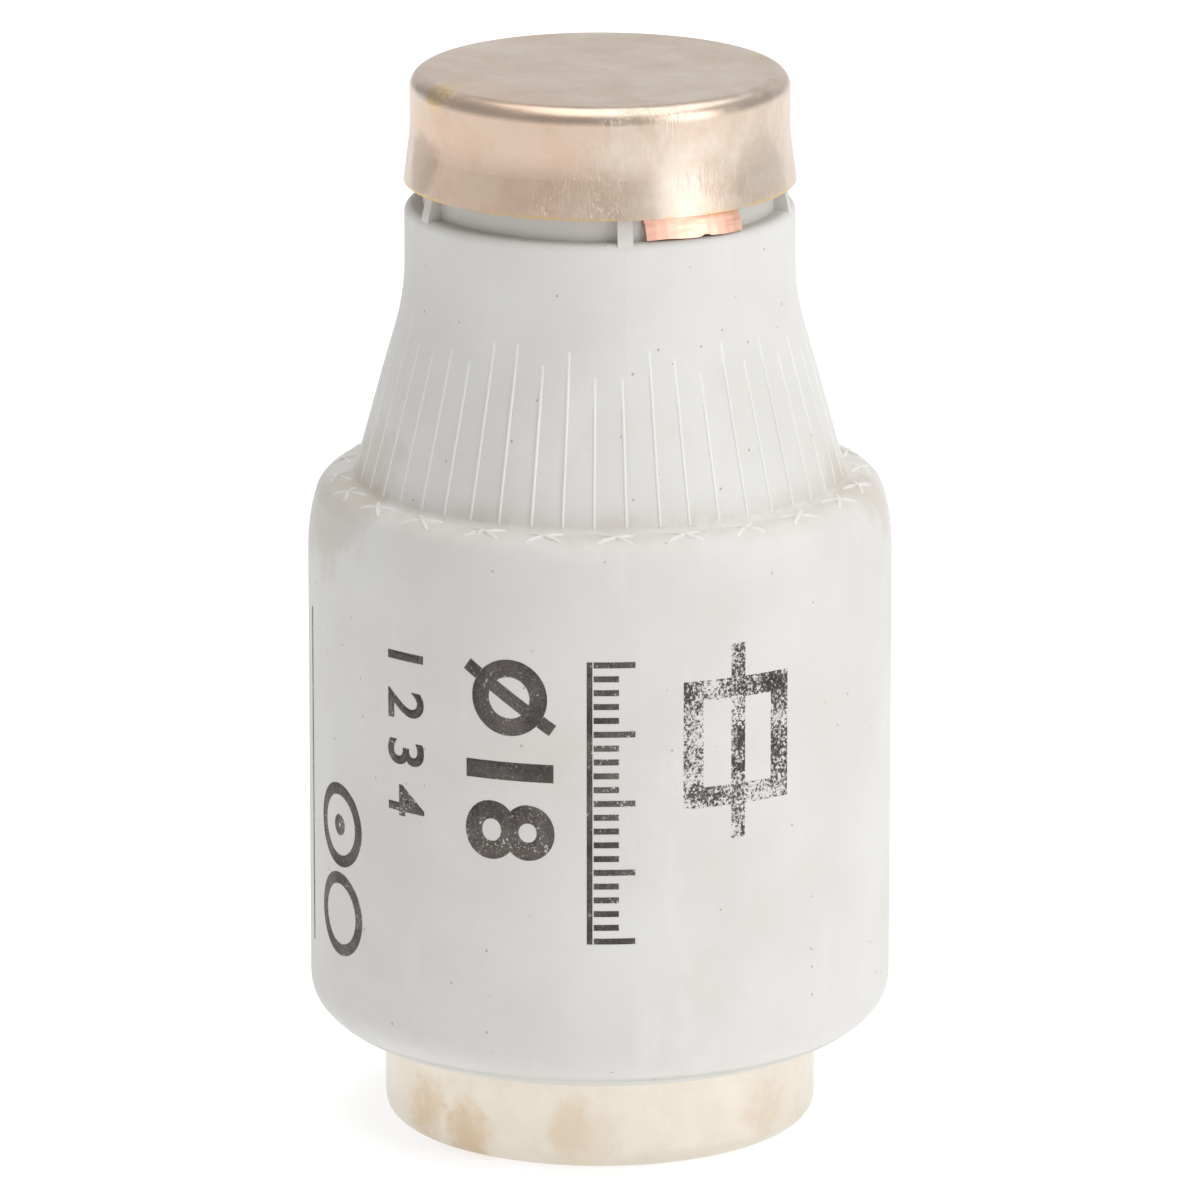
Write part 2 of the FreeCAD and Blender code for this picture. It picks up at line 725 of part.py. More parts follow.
fuse_pieces = build_pieces()
document.recompute()
check_document()
write_pieces(fuse_pieces)
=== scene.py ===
import json
import math
import random

import bmesh
import bpy
from mathutils import Matrix, Vector
from mathutils.bvhtree import BVHTree


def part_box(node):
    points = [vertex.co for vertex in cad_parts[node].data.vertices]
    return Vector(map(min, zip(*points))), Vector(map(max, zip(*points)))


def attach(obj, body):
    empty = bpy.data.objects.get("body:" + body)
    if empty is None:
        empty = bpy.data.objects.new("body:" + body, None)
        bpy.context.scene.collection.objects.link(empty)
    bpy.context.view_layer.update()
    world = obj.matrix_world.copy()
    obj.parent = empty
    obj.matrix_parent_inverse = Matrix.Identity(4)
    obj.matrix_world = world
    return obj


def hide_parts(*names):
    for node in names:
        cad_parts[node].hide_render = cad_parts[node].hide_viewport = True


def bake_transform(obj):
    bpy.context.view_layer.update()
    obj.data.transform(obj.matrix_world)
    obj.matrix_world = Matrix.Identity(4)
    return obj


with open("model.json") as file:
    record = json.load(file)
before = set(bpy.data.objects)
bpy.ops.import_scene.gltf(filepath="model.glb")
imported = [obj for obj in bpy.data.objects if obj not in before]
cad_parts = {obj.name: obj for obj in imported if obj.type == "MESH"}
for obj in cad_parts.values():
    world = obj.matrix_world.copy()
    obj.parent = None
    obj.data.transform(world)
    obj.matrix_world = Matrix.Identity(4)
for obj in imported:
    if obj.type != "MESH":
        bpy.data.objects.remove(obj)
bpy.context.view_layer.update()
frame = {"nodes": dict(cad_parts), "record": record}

# ---------------------------------------------------------------- sizes
# Lengths are in metres, or in millimetres where the name ends in _MM; angles are in degrees.
MM = 0.001
MOUNTS = {mount["name"]: mount for mount in frame["record"]["mounts"]}
BARREL_RADIUS = MOUNTS["body_grip"]["dims"]["r_mm"] * MM
FOOT_RADIUS = MOUNTS["foot_contact"]["dims"]["r_mm"] * MM
TOTAL_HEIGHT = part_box("foot_contact_cap")[1].z
FOOT_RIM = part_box("foot_contact_cap")[0].z
HEAD_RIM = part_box("head_contact_cap")[1].z
SHOULDER = 30.85 * MM
SHOULDER_WIDTH = 2.17 * MM
NECK_TOP = 43.75 * MM

CONE_RIB_COUNT = 48
CONE_RIB_PHASE = -1.3
CONE_RIB_WIDTH = 0.18 * MM
CONE_RIB_HEIGHT = 0.055 * MM
CONE_RIB_START = 38.7 * MM

SHOULDER_MARK_COUNT = 24
SHOULDER_MARK_PHASE = 3.6
SHOULDER_MARK_SIZE = 1.95 * MM
SHOULDER_MARK_WIDTH = 0.24 * MM
SHOULDER_MARK_HEIGHT = 0.1 * MM

# Shares of a ridge's height (END, SKIRT), of its length (STOP_FADE) and of its width (CROWN).
RIDGE_END = 0.2
RIDGE_STOP_FADE = 0.08
RIDGE_CROWN = 0.4
RIDGE_SKIRT = -0.2

TAIL_RADIUS = 8.05 * MM
TAIL_LENGTH = 3 * MM
TAIL_BEND = 0.25 * MM
TAIL_ROWS = 5
TAIL_COLUMNS = 12
TAIL_FLARE_MM = 0.42
TAIL_TILT_MM = 0.1
TAIL_WAVE_MM = 0.03
TAIL_SHIFT_MM = 0.26
TAIL_EXTRA_MM = 0.33
TAIL_RAGGED_MM = 0.02
NICK_DEPTH_MM = 0.13
# Shares of the tail's half width.
NICK_PLACE = 0.12
NICK_WIDTH = 0.12

SPRING_WIRE = 0.35 * MM
SPRING_TURNS = 3
SPRING_STEPS_PER_TURN = 36
SPRING_SEGMENTS = 10

INK_THICKNESS = 0.006 * MM
INK_DEPTH = 0.03 * MM
INK_JOINT = 0.004 * MM
INK_SLICE = 0.25 * MM

CAMERA_DISTANCE = 500 * MM
CAMERA_ELEVATION = 15.06
CAMERA_AIM = 24.68 * MM
CAMERA_LENS = 321.5
CAMERA_SENSOR = 36
WORLD_STRENGTH = 0.42

FLOOR_DROP = 0.05 * MM
FLOOR_SIZE = 4.0
FLOOR_GLOW = 0.7

# ---------------------------------------------------------------- colours
WHITE = (1.0, 1.0, 1.0, 1)
FLOOR_DARK = (0.46, 0.46, 0.46, 1)
FLOOR_LIGHT = (0.48, 0.48, 0.48, 1)
CLAY_DARK = (0.625, 0.61, 0.58, 1)
CLAY_LIGHT = (0.67, 0.662, 0.638, 1)
CLAY_STREAK = (0.74, 0.732, 0.71, 1)
CLAY_SCORED = (0.52, 0.50, 0.47, 1)
# Painted highlight: the whiter colour given to the raised ribs and crosses.
CLAY_PAINTED_HIGHLIGHT = (0.86, 0.855, 0.84, 1)
SHOULDER_DIRT = (0.50, 0.41, 0.31, 1)
GRIME = (0.44, 0.36, 0.27, 1)
# Painted shade with some dirt: the dark line in the crease above the lip.
CREASE_SHADE_AND_DIRT = (0.40, 0.37, 0.33, 1)
RECESS_SHADE = (0.50, 0.46, 0.41, 1)
OLD_STAIN = (0.55, 0.49, 0.40, 1)
SPECK_BROWN = (0.27, 0.21, 0.165, 1)
# Painted shade: the darker, pinker tone of the foot cap's dim left front.
PLATE_PAINTED_SHADE = (0.67, 0.47, 0.345, 1)
BARE_BRASS = (0.72, 0.54, 0.25, 1)
SCRATCH_BRIGHT = (0.88, 0.85, 0.80, 1)
FOOT_PLATE_DARK = (0.62, 0.485, 0.38, 1)
FOOT_PLATE_LIGHT = (0.73, 0.635, 0.545, 1)
FOOT_STAIN = (0.36, 0.28, 0.20, 1)
HEAD_PLATE_DARK = (0.70, 0.63, 0.53, 1)
HEAD_PLATE_LIGHT = (0.76, 0.705, 0.62, 1)
HEAD_STAIN = (0.56, 0.39, 0.22, 1)
COPPER_DARK = (0.87, 0.50, 0.37, 1)
COPPER_LIGHT = (0.93, 0.60, 0.47, 1)
BOARD_DARK = (0.36, 0.26, 0.17, 1)
BOARD_LIGHT = (0.60, 0.48, 0.34, 1)
SAND_DARK = (0.55, 0.47, 0.36, 1)
SAND_LIGHT = (0.86, 0.83, 0.76, 1)
BRASS_DARK = (0.62, 0.44, 0.18, 1)
BRASS_LIGHT = (0.78, 0.58, 0.28, 1)
STEEL_DARK = (0.42, 0.42, 0.43, 1)
STEEL_LIGHT = (0.58, 0.58, 0.59, 1)
ENAMEL_DULL = (0.80, 0.80, 0.77, 1)
ENAMEL_WHITE = (0.87, 0.87, 0.85, 1)
PIN_HOLE = (0.35, 0.30, 0.25, 1)
INK_THIN = (0.115, 0.095, 0.082, 1)
INK_FULL = (0.02, 0.016, 0.014, 1)


# ---------------------------------------------------------------- small helpers
def direction(angle):
    """Unit vector at an angle from the front (-Y) towards the right (+X)."""
    turn = math.radians(angle)
    return Vector((math.sin(turn), -math.cos(turn), 0))


def around(angle, radius, height):
    """Point at an angle from the front, a distance from the axis and a height."""
    return direction(angle) * radius + Vector((0, 0, height))


def new_piece(name, bm, material, body="root"):
    """Turn a finished bmesh into a piece of the fuse that rides on a body."""
    mesh = bpy.data.meshes.new(name)
    bm.to_mesh(mesh)
    bm.free()
    piece = bpy.data.objects.new(name, mesh)
    bpy.context.scene.collection.objects.link(piece)
    mesh.materials.append(material)
    if body is not None:
        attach(piece, body)
    return piece


def smooth(piece, limit=None):
    """Shade a piece smooth, keeping edges that turn by more than a limit sharp."""
    piece.data.shade_smooth()
    if limit is not None:
        piece.data.set_sharp_from_angle(angle=math.radians(limit))


def surface_of(node):
    """A search tree over the surface of a CAD node."""
    mesh = frame["nodes"][node].data
    places = [vertex.co for vertex in mesh.vertices]
    return BVHTree.FromPolygons(places, [tuple(face.vertices) for face in mesh.polygons])


# ---------------------------------------------------------------- shader tools
class Nodes:
    """Adds and links nodes in one material, world or group."""

    def __init__(self, tree):
        self.tree = tree

    def add(self, kind, settings=None, **inputs):
        node = self.tree.nodes.new(kind)
        for name, value in (settings or {}).items():
            setattr(node, name, value)
        for name, value in inputs.items():
            self.feed(node, name, value)
        return node

    def feed(self, node, name, value):
        socket = self.socket(node, name)
        if isinstance(value, bpy.types.NodeSocket):
            self.tree.links.new(value, socket)
        else:
            socket.default_value = value

    @staticmethod
    def socket(node, name):
        if name.startswith("at_"):
            return node.inputs[int(name[3:])]
        return node.inputs[name.replace("_", " ")]

    def math(self, operation, first, second=0.0, third=0.0):
        node = self.add(
            "ShaderNodeMath", {"operation": operation}, at_0=first, at_1=second, at_2=third,
        )
        return node.outputs[0]

    def ramp(self, value, low, high, start=0.0, stop=1.0):
        """Map a value smoothly from low..high to start..stop."""
        node = self.add(
            "ShaderNodeMapRange", {"interpolation_type": "SMOOTHSTEP"},
            Value=value, From_Min=low, From_Max=high, To_Min=start, To_Max=stop,
        )
        return node.outputs[0]

    def mix(self, share, first, second):
        node = self.add(
            "ShaderNodeMix", {"data_type": "RGBA"}, at_0=share, at_6=first, at_7=second,
        )
        return node.outputs[2]

    def noise(self, place, scale, detail=4.0, roughness=0.5, stretch=None):
        if stretch is not None:
            place = self.add("ShaderNodeMapping", Vector=place, Scale=stretch).outputs[0]
        node = self.add(
            "ShaderNodeTexNoise", Vector=place, Scale=scale, Detail=detail, Roughness=roughness,
        )
        return node.outputs[0]


def new_group(name, inputs, outputs):
    """Start a node group with float or vector inputs and float outputs."""
    group = bpy.data.node_groups.new(name, "ShaderNodeTree")
    kinds = {"vector": "NodeSocketVector", "float": "NodeSocketFloat"}
    for label, kind in inputs:
        group.interface.new_socket(label, in_out="INPUT", socket_type=kinds[kind])
    for label in outputs:
        group.interface.new_socket(label, in_out="OUTPUT", socket_type=kinds["float"])
    nodes = Nodes(group)
    start = nodes.add("NodeGroupInput")
    stop = nodes.add("NodeGroupOutput")
    return nodes, start.outputs, stop


def use_group(nodes, group, **inputs):
    """Add a shared effect to a material and give its outputs."""
    node = nodes.add("ShaderNodeGroup", {"node_tree": group}, **inputs)
    return node.outputs


def new_material(name):
    """A material with its Principled shader and the Object coordinates of the piece."""
    material = bpy.data.materials.new(name)
    material.use_nodes = True
    nodes = Nodes(material.node_tree)
    shader = material.node_tree.nodes["Principled BSDF"]
    place = nodes.add("ShaderNodeTexCoord").outputs["Object"]
    return material, nodes, shader, place


def bump(nodes, shader, height, distance, strength=1.0):
    """Let a height pattern tilt the surface of a material."""
    node = nodes.add("ShaderNodeBump", Strength=strength, Distance=distance, Height=height)
    nodes.feed(shader, "Normal", node.outputs[0])


# ---------------------------------------------------------------- effects shared by materials
def make_specks():
    """Small round grains of dirt: a cell pattern of which only a few cells show."""
    nodes, start, stop = new_group(
        "specks", [("Place", "vector"), ("Scale", "float"), ("Amount", "float"), ("Size", "float")],
        ["Mask"],
    )
    cells = nodes.add("ShaderNodeTexVoronoi", Vector=start["Place"], Scale=start["Scale"])
    chosen = nodes.math("LESS_THAN", cells.outputs["Color"], start["Amount"])
    near = nodes.math("SUBTRACT", start["Size"], cells.outputs["Distance"])
    spot = nodes.ramp(near, 0.0, 0.05)
    nodes.feed(stop, "Mask", nodes.math("MULTIPLY", chosen, spot))
    return nodes.tree


def make_scratches():
    """Fine scratches that run several ways: noise that is stretched along three directions."""
    nodes, start, stop = new_group(
        "scratches", [("Place", "vector"), ("Scale", "float"), ("Amount", "float")], ["Mask"],
    )
    total = None
    for turn, stretch in ((0.5, 14.0), (-0.9, 19.0), (1.35, 16.0)):
        turned = nodes.add(
            "ShaderNodeMapping", Vector=start["Place"], Rotation=(turn * 0.6, turn, turn * 1.7),
            Scale=(stretch, stretch, 1.0),
        ).outputs[0]
        lines = nodes.add(
            "ShaderNodeTexNoise", Vector=turned, Scale=start["Scale"], Detail=2.0, Roughness=0.4,
        ).outputs[0]
        ridge = nodes.math("ABSOLUTE", nodes.math("SUBTRACT", lines, 0.5))
        line = nodes.ramp(nodes.math("DIVIDE", ridge, start["Amount"]), 0.0, 1.0, 1.0, 0.0)
        total = line if total is None else nodes.math("MAXIMUM", total, line)
    patches = nodes.noise(start["Place"], scale=260.0, detail=2.0)
    nodes.feed(stop, "Mask", nodes.math("MULTIPLY", total, nodes.ramp(patches, 0.42, 0.62)))
    return nodes.tree


def make_turning_lines():
    """Shallow rings left by turning: noise that changes fast along Z only."""
    nodes, start, stop = new_group(
        "turning lines", [("Place", "vector"), ("Scale", "float")], ["Height"],
    )
    rings = nodes.noise(
        start["Place"], scale=start["Scale"], detail=3.0, roughness=0.6, stretch=(0.03, 0.03, 1.0),
    )
    nodes.feed(stop, "Height", rings)
    return nodes.tree


def make_band():
    """A soft band of heights: 1 between Low and High, falling to 0 over Fade."""
    nodes, start, stop = new_group(
        "height band",
        [("Place", "vector"), ("Low", "float"), ("High", "float"), ("Fade", "float")], ["Mask"],
    )
    height = nodes.add("ShaderNodeSeparateXYZ", Vector=start["Place"]).outputs["Z"]
    above = nodes.math("DIVIDE", nodes.math("SUBTRACT", height, start["Low"]), start["Fade"])
    below = nodes.math("DIVIDE", nodes.math("SUBTRACT", start["High"], height), start["Fade"])
    inside = nodes.math("MINIMUM", above, below)
    nodes.feed(stop, "Mask", nodes.ramp(inside, -0.5, 0.5))
    return nodes.tree


def make_spot():
    """A soft round spot about a centre, broken up by noise."""
    nodes, start, stop = new_group(
        "spot", [("Place", "vector"), ("Centre", "vector"), ("Size", "float"), ("Grain", "float")],
        ["Mask"],
    )
    reach = nodes.add(
        "ShaderNodeVectorMath", {"operation": "DISTANCE"}, at_0=start["Place"], at_1=start["Centre"],
    ).outputs["Value"]
    near = nodes.math("SUBTRACT", 1.0, nodes.math("DIVIDE", reach, start["Size"]))
    grain = nodes.noise(start["Place"], scale=start["Grain"], detail=5.0, roughness=0.65)
    nodes.feed(stop, "Mask", nodes.ramp(nodes.math("ADD", near, grain), 0.75, 1.1))
    return nodes.tree


SPECKS = make_specks()
SPOT = make_spot()
SCRATCHES = make_scratches()
TURNING_LINES = make_turning_lines()
BAND = make_band()


# ---------------------------------------------------------------- materials
def porcelain(name, dirt_share, highlight_share):
    """Unglazed porcelain: off-white, faintly mottled, specked, dusty brown on the shoulder, with a
    painted shade line in the crease above the lip, painted shade in the groove above the neck, and a
    share of painted highlight that whitens it.
    """
    material, nodes, shader, place = new_material(name)
    clouds = nodes.noise(place, scale=130.0, detail=5.0, roughness=0.55)
    streaks = nodes.noise(place, scale=420.0, detail=4.0, roughness=0.6, stretch=(1.0, 1.0, 0.25))
    base = nodes.mix(nodes.ramp(clouds, 0.3, 0.7), CLAY_DARK, CLAY_LIGHT)
    base = nodes.mix(nodes.ramp(streaks, 0.55, 0.8, 0.0, 0.4), base, CLAY_STREAK)
    lines = use_group(nodes, TURNING_LINES, Place=place, Scale=4200.0)["Height"]
    turned = use_group(nodes, BAND, Place=place, Low=26 * MM, High=29.5 * MM, Fade=1.5 * MM)["Mask"]
    scored = nodes.math("MULTIPLY", turned, nodes.ramp(lines, 0.56, 0.72))
    patches = nodes.ramp(nodes.noise(place, scale=240.0, detail=3.0), 0.42, 0.6)
    base = nodes.mix(
        nodes.math("MULTIPLY", nodes.math("MULTIPLY", scored, patches), 0.3), base, CLAY_SCORED,
    )
    shoulder = use_group(
        nodes, BAND, Place=place, Low=SHOULDER - 0.35 * MM, High=SHOULDER + 0.9 * MM, Fade=0.9 * MM,
    )["Mask"]
    smudge = nodes.ramp(nodes.noise(place, scale=620.0, detail=6.0, roughness=0.7), 0.42, 0.66)
    dirt = nodes.math("MULTIPLY", shoulder, nodes.math("MULTIPLY_ADD", smudge, dirt_share, 0.04))
    base = nodes.mix(dirt, base, SHOULDER_DIRT)
    for angle, size in ((-72, 6.0), (78, 3.5), (160, 5.0)):
        centre = around(angle, BARREL_RADIUS - SHOULDER_WIDTH / 2, SHOULDER)
        grime = use_group(nodes, SPOT, Place=place, Centre=centre, Size=size * MM, Grain=500.0)["Mask"]
        grime = nodes.math("MULTIPLY", grime, dirt_share * 1.2)
        base = nodes.mix(grime, base, GRIME)
    # Painted shade with some dirt: a dark line in the concave crease just above the lip.
    crease_shade_and_dirt = use_group(
        nodes, BAND, Place=place, Low=HEAD_RIM + 0.7 * MM, High=HEAD_RIM + 0.95 * MM, Fade=0.25 * MM,
    )["Mask"]
    crease_shade_and_dirt = nodes.math("MULTIPLY", crease_shade_and_dirt, nodes.ramp(clouds, 0.3, 0.6, 0.18, 0.42))
    base = nodes.mix(crease_shade_and_dirt, base, CREASE_SHADE_AND_DIRT)
    recess = use_group(
        nodes, BAND, Place=place, Low=NECK_TOP + 0.1 * MM, High=60 * MM, Fade=0.4 * MM,
    )["Mask"]
    base = nodes.mix(nodes.math("MULTIPLY", recess, 0.2), base, RECESS_SHADE)
    stains = nodes.noise(place, scale=95.0, detail=6.0, roughness=0.6)
    stains = nodes.ramp(stains, 0.60, 0.72, 0.0, 0.16)
    base = nodes.mix(stains, base, OLD_STAIN)
    specks = use_group(nodes, SPECKS, Place=place, Scale=1350.0, Amount=0.30, Size=0.115)["Mask"]
    base = nodes.mix(nodes.math("MULTIPLY", specks, 0.6), base, SPECK_BROWN)
    # Painted highlight: whitens the surface towards a lit colour by the given share; none on the plain
    # body.
    bright = nodes.ramp(streaks, 0.3, 0.7, highlight_share * 0.8, highlight_share)
    nodes.feed(shader, "Base Color", nodes.mix(bright, base, CLAY_PAINTED_HIGHLIGHT))
    nodes.feed(shader, "Roughness", nodes.ramp(streaks, 0.3, 0.7, 0.5, 0.64))
    grain = nodes.noise(place, scale=3800.0, detail=3.0, roughness=0.6)
    chips = use_group(nodes, SPECKS, Place=place, Scale=560.0, Amount=0.16, Size=0.22)["Mask"]
    height = nodes.math("MULTIPLY_ADD", lines, 0.9, nodes.math("MULTIPLY", grain, 0.5))
    height = nodes.math("MULTIPLY_ADD", chips, -1.0, height)
    bump(nodes, shader, height, distance=0.012 * MM, strength=0.9)
    return material


def plated_metal(name, dark, light, stain, stains, bare_spots, scratched):
    """Dull nickel plate over brass: scratched and stained, with brass where the plate is worn through,
    and a darker, pinker painted shade on the left front of the foot cap.

    A stain is (angle, height in mm, size in mm, share), a bare spot (angle, height in mm, size in mm).
    """
    material, nodes, shader, place = new_material(name)
    clouds = nodes.noise(place, scale=330.0, detail=6.0, roughness=0.68)
    plate = nodes.mix(nodes.ramp(clouds, 0.32, 0.68), dark, light)
    fine = nodes.noise(place, scale=5200.0, detail=4.0, roughness=0.7)
    plate = nodes.mix(nodes.ramp(fine, 0.35, 0.7, 0.0, 0.2), plate, light)
    # Painted shade: a darker, pinker patch on the left front of the foot cap, on the side away from the
    # key light.
    painted_side_shade = use_group(
        nodes, SPOT, Place=place, Centre=around(-32, FOOT_RADIUS, TOTAL_HEIGHT - 3.6 * MM),
        Size=9 * MM, Grain=240.0,
    )["Mask"]
    plate = nodes.mix(nodes.math("MULTIPLY", painted_side_shade, 0.55), plate, PLATE_PAINTED_SHADE)
    scratches = use_group(nodes, SCRATCHES, Place=place, Scale=260.0, Amount=0.010)["Mask"]
    scratches = nodes.math("MULTIPLY", scratches, scratched)
    blotches = nodes.ramp(nodes.noise(place, scale=620.0, detail=5.0, roughness=0.62), 0.54, 0.70)
    plate = nodes.mix(nodes.math("MULTIPLY", blotches, 0.12), plate, stain)
    for angle, height, size, share in stains:
        centre = around(angle, FOOT_RADIUS, height * MM)
        spot = use_group(nodes, SPOT, Place=place, Centre=centre, Size=size * MM, Grain=420.0)["Mask"]
        plate = nodes.mix(nodes.math("MULTIPLY", spot, share), plate, stain)
    rim = use_group(
        nodes, BAND, Place=place, Low=FOOT_RIM - MM, High=FOOT_RIM + 0.12 * MM, Fade=0.08 * MM,
    )["Mask"]
    worn = nodes.ramp(nodes.noise(place, scale=260.0, detail=4.0, roughness=0.6), 0.46, 0.54)
    bare = nodes.math("MULTIPLY", rim, worn)
    grains = nodes.ramp(fine, 0.44, 0.52)
    for angle, height, size in bare_spots:
        centre = around(angle, FOOT_RADIUS * 0.96, height * MM)
        spot = use_group(nodes, SPOT, Place=place, Centre=centre, Size=size * MM, Grain=2600.0)["Mask"]
        bare = nodes.math("MAXIMUM", bare, nodes.math("MULTIPLY", spot, grains))
    plate = nodes.mix(nodes.math("MULTIPLY", bare, 0.8), plate, BARE_BRASS)
    plate = nodes.mix(nodes.math("MULTIPLY", scratches, 0.2), plate, SCRATCH_BRIGHT)
    nodes.feed(shader, "Base Color", plate)
    nodes.feed(shader, "Metallic", 1.0)
    rough = nodes.math("MULTIPLY_ADD", clouds, 0.22, 0.2)
    rough = nodes.math("MULTIPLY_ADD", fine, 0.1, rough)
    rough = nodes.math("MULTIPLY_ADD", scratches, 0.14, rough)
    nodes.feed(shader, "Roughness", rough)
    dents = nodes.noise(place, scale=330.0, detail=3.0, roughness=0.5)
    height = nodes.math("MULTIPLY_ADD", scratches, -0.3, dents)
    height = nodes.math("MULTIPLY_ADD", fine, 0.16, height)
    bump(nodes, shader, height, distance=0.03 * MM, strength=0.8)
    return material


def bright_copper():
    """Freshly cut rolled copper, with faint rolling lines along the strip."""
    material, nodes, shader, place = new_material("bright_copper")
    lines = nodes.noise(place, scale=900.0, detail=3.0, roughness=0.5, stretch=(1.0, 1.0, 9.0))
    nodes.feed(shader, "Base Color", nodes.mix(lines, COPPER_DARK, COPPER_LIGHT))
    nodes.feed(shader, "Metallic", 1.0)
    nodes.feed(shader, "Roughness", nodes.ramp(lines, 0.3, 0.7, 0.34, 0.48))
    bump(nodes, shader, lines, distance=0.006 * MM)
    return material


def pressed_board():
    """Hard brown fibre board with a short felted grain."""
    material, nodes, shader, place = new_material("pressed_board")
    fibres = nodes.noise(place, scale=2400.0, detail=5.0, roughness=0.7, stretch=(1.0, 1.0, 6.0))
    nodes.feed(shader, "Base Color", nodes.mix(fibres, BOARD_DARK, BOARD_LIGHT))
    nodes.feed(shader, "Roughness", nodes.ramp(fibres, 0.2, 0.8, 0.75, 0.9))
    bump(nodes, shader, fibres, distance=0.02 * MM)
    return material


def sand_grains():
    """Packed quartz grains a quarter of a millimetre across."""
    material, nodes, shader, place = new_material("sand_grains")
    cells = nodes.add("ShaderNodeTexVoronoi", Vector=place, Scale=4000.0)
    tint = nodes.add("ShaderNodeSeparateColor", Color=cells.outputs["Color"]).outputs[0]
    nodes.feed(shader, "Base Color", nodes.mix(tint, SAND_DARK, SAND_LIGHT))
    nodes.feed(shader, "Roughness", nodes.ramp(tint, 0.0, 1.0, 0.35, 0.7))
    bump(nodes, shader, cells.outputs["Distance"], distance=0.08 * MM)
    return material


def drawn_metal(name, dark, light, roughness):
    """Plain drawn or rolled metal with fine lines from the tool."""
    material, nodes, shader, place = new_material(name)
    lines = use_group(nodes, TURNING_LINES, Place=place, Scale=6000.0)["Height"]
    clouds = nodes.noise(place, scale=500.0, detail=4.0)
    nodes.feed(shader, "Base Color", nodes.mix(nodes.ramp(clouds, 0.35, 0.65), dark, light))
    nodes.feed(shader, "Metallic", 1.0)
    nodes.feed(shader, "Roughness", nodes.ramp(clouds, 0.3, 0.7, roughness, roughness + 0.12))
    bump(nodes, shader, lines, distance=0.006 * MM)
    return material


def white_enamel():
    """Glossy white enamel of the indicator, slightly wavy, with a few pin holes."""
    material, nodes, shader, place = new_material("white_enamel")
    waves = nodes.noise(place, scale=600.0, detail=3.0)
    holes = use_group(nodes, SPECKS, Place=place, Scale=1500.0, Amount=0.06, Size=0.2)["Mask"]
    base = nodes.mix(waves, ENAMEL_DULL, ENAMEL_WHITE)
    nodes.feed(shader, "Base Color", nodes.mix(holes, base, PIN_HOLE))
    nodes.feed(shader, "Roughness", nodes.ramp(waves, 0.3, 0.7, 0.14, 0.26))
    bump(nodes, shader, nodes.math("MULTIPLY_ADD", holes, -1.0, waves), distance=0.012 * MM)
    return material


def stamped_ink(name, wear):
    """Dark brown-black stamped ink, peppered with pits and worn off in places."""
    material, nodes, shader, place = new_material(name)
    pits = nodes.noise(place, scale=7600.0, detail=4.0, roughness=0.8)
    patches = nodes.noise(place, scale=480.0, detail=4.0, roughness=0.6)
    streaks = nodes.noise(place, scale=900.0, detail=3.0, roughness=0.6, stretch=(0.4, 0.4, 2.0))
    cover = nodes.math("MULTIPLY_ADD", patches, 0.42, nodes.math("MULTIPLY", streaks, 0.22))
    cover = nodes.math("ADD", cover, pits)
    nodes.feed(shader, "Alpha", nodes.ramp(cover, wear, wear + 0.07))
    tone = nodes.ramp(nodes.math("ADD", pits, patches), 0.75, 1.3)
    nodes.feed(shader, "Base Color", nodes.mix(tone, INK_THIN, INK_FULL))
    nodes.feed(shader, "Roughness", nodes.ramp(patches, 0.3, 0.7, 0.45, 0.65))
    return material


PORCELAIN = porcelain("porcelain", dirt_share=0.26, highlight_share=0.0)
# For the ribs and crosses: less dirt than the body, plus a painted highlight that makes them read as
# bright lines.
CLEAN_PORCELAIN_PAINTED_HIGHLIGHT = porcelain("clean_porcelain_painted_highlight", dirt_share=0.05, highlight_share=0.42)
FOOT_METAL = plated_metal(
    "plated_foot", FOOT_PLATE_DARK, FOOT_PLATE_LIGHT, FOOT_STAIN,
    stains=[(58, 46.2, 3.6, 0.35), (-66, 46.4, 2.6, 0.55), (150, 46, 4, 0.35), (-130, 47, 3, 0.4)],
    bare_spots=[(-60, 49.9, 1.5), (112, 49.7, 1.1), (-160, 49.8, 0.9)], scratched=1.0,
)
HEAD_METAL = plated_metal(
    "plated_head", HEAD_PLATE_DARK, HEAD_PLATE_LIGHT, HEAD_STAIN,
    stains=[(-53, 1.7, 3.0, 0.6), (-38, 1.1, 3.0, 0.6), (-4, 1.9, 3.2, 0.35), (52, 2.2, 3.2, 0.25),
            (130, 2.0, 4.0, 0.4), (-140, 2.4, 3.6, 0.4)],
    bare_spots=[], scratched=0.35,
)
COPPER = bright_copper()
BOARD = pressed_board()
SAND = sand_grains()
BRASS = drawn_metal("drawn_brass", BRASS_DARK, BRASS_LIGHT, roughness=0.28)
STEEL = drawn_metal("spring_steel", STEEL_DARK, STEEL_LIGHT, roughness=0.22)
ENAMEL = white_enamel()
INK = stamped_ink("stamped_ink", wear=0.66)
FADED_INK = stamped_ink("faded_ink", wear=0.79)

NODE_MATERIALS = {
    "ceramic_body": PORCELAIN,
    "foot_contact_cap": FOOT_METAL,
    "head_contact_cap": HEAD_METAL,
    "fuse_element_front": COPPER,
    "fuse_element_rear": COPPER,
    "foot_sealing_disc": BOARD,
    "head_sealing_disc": BOARD,
    "quartz_sand": SAND,
    "indicator_cup": BRASS,
    "indicator_disc": ENAMEL,
    "indicator_spring": STEEL,
    "indicator_wire": STEEL,
    "indicator_wire_end": STEEL,
}
for node_name, node_material in NODE_MATERIALS.items():
    cad_mesh = frame["nodes"][node_name].data
    cad_mesh.materials.clear()
    cad_mesh.materials.append(node_material)


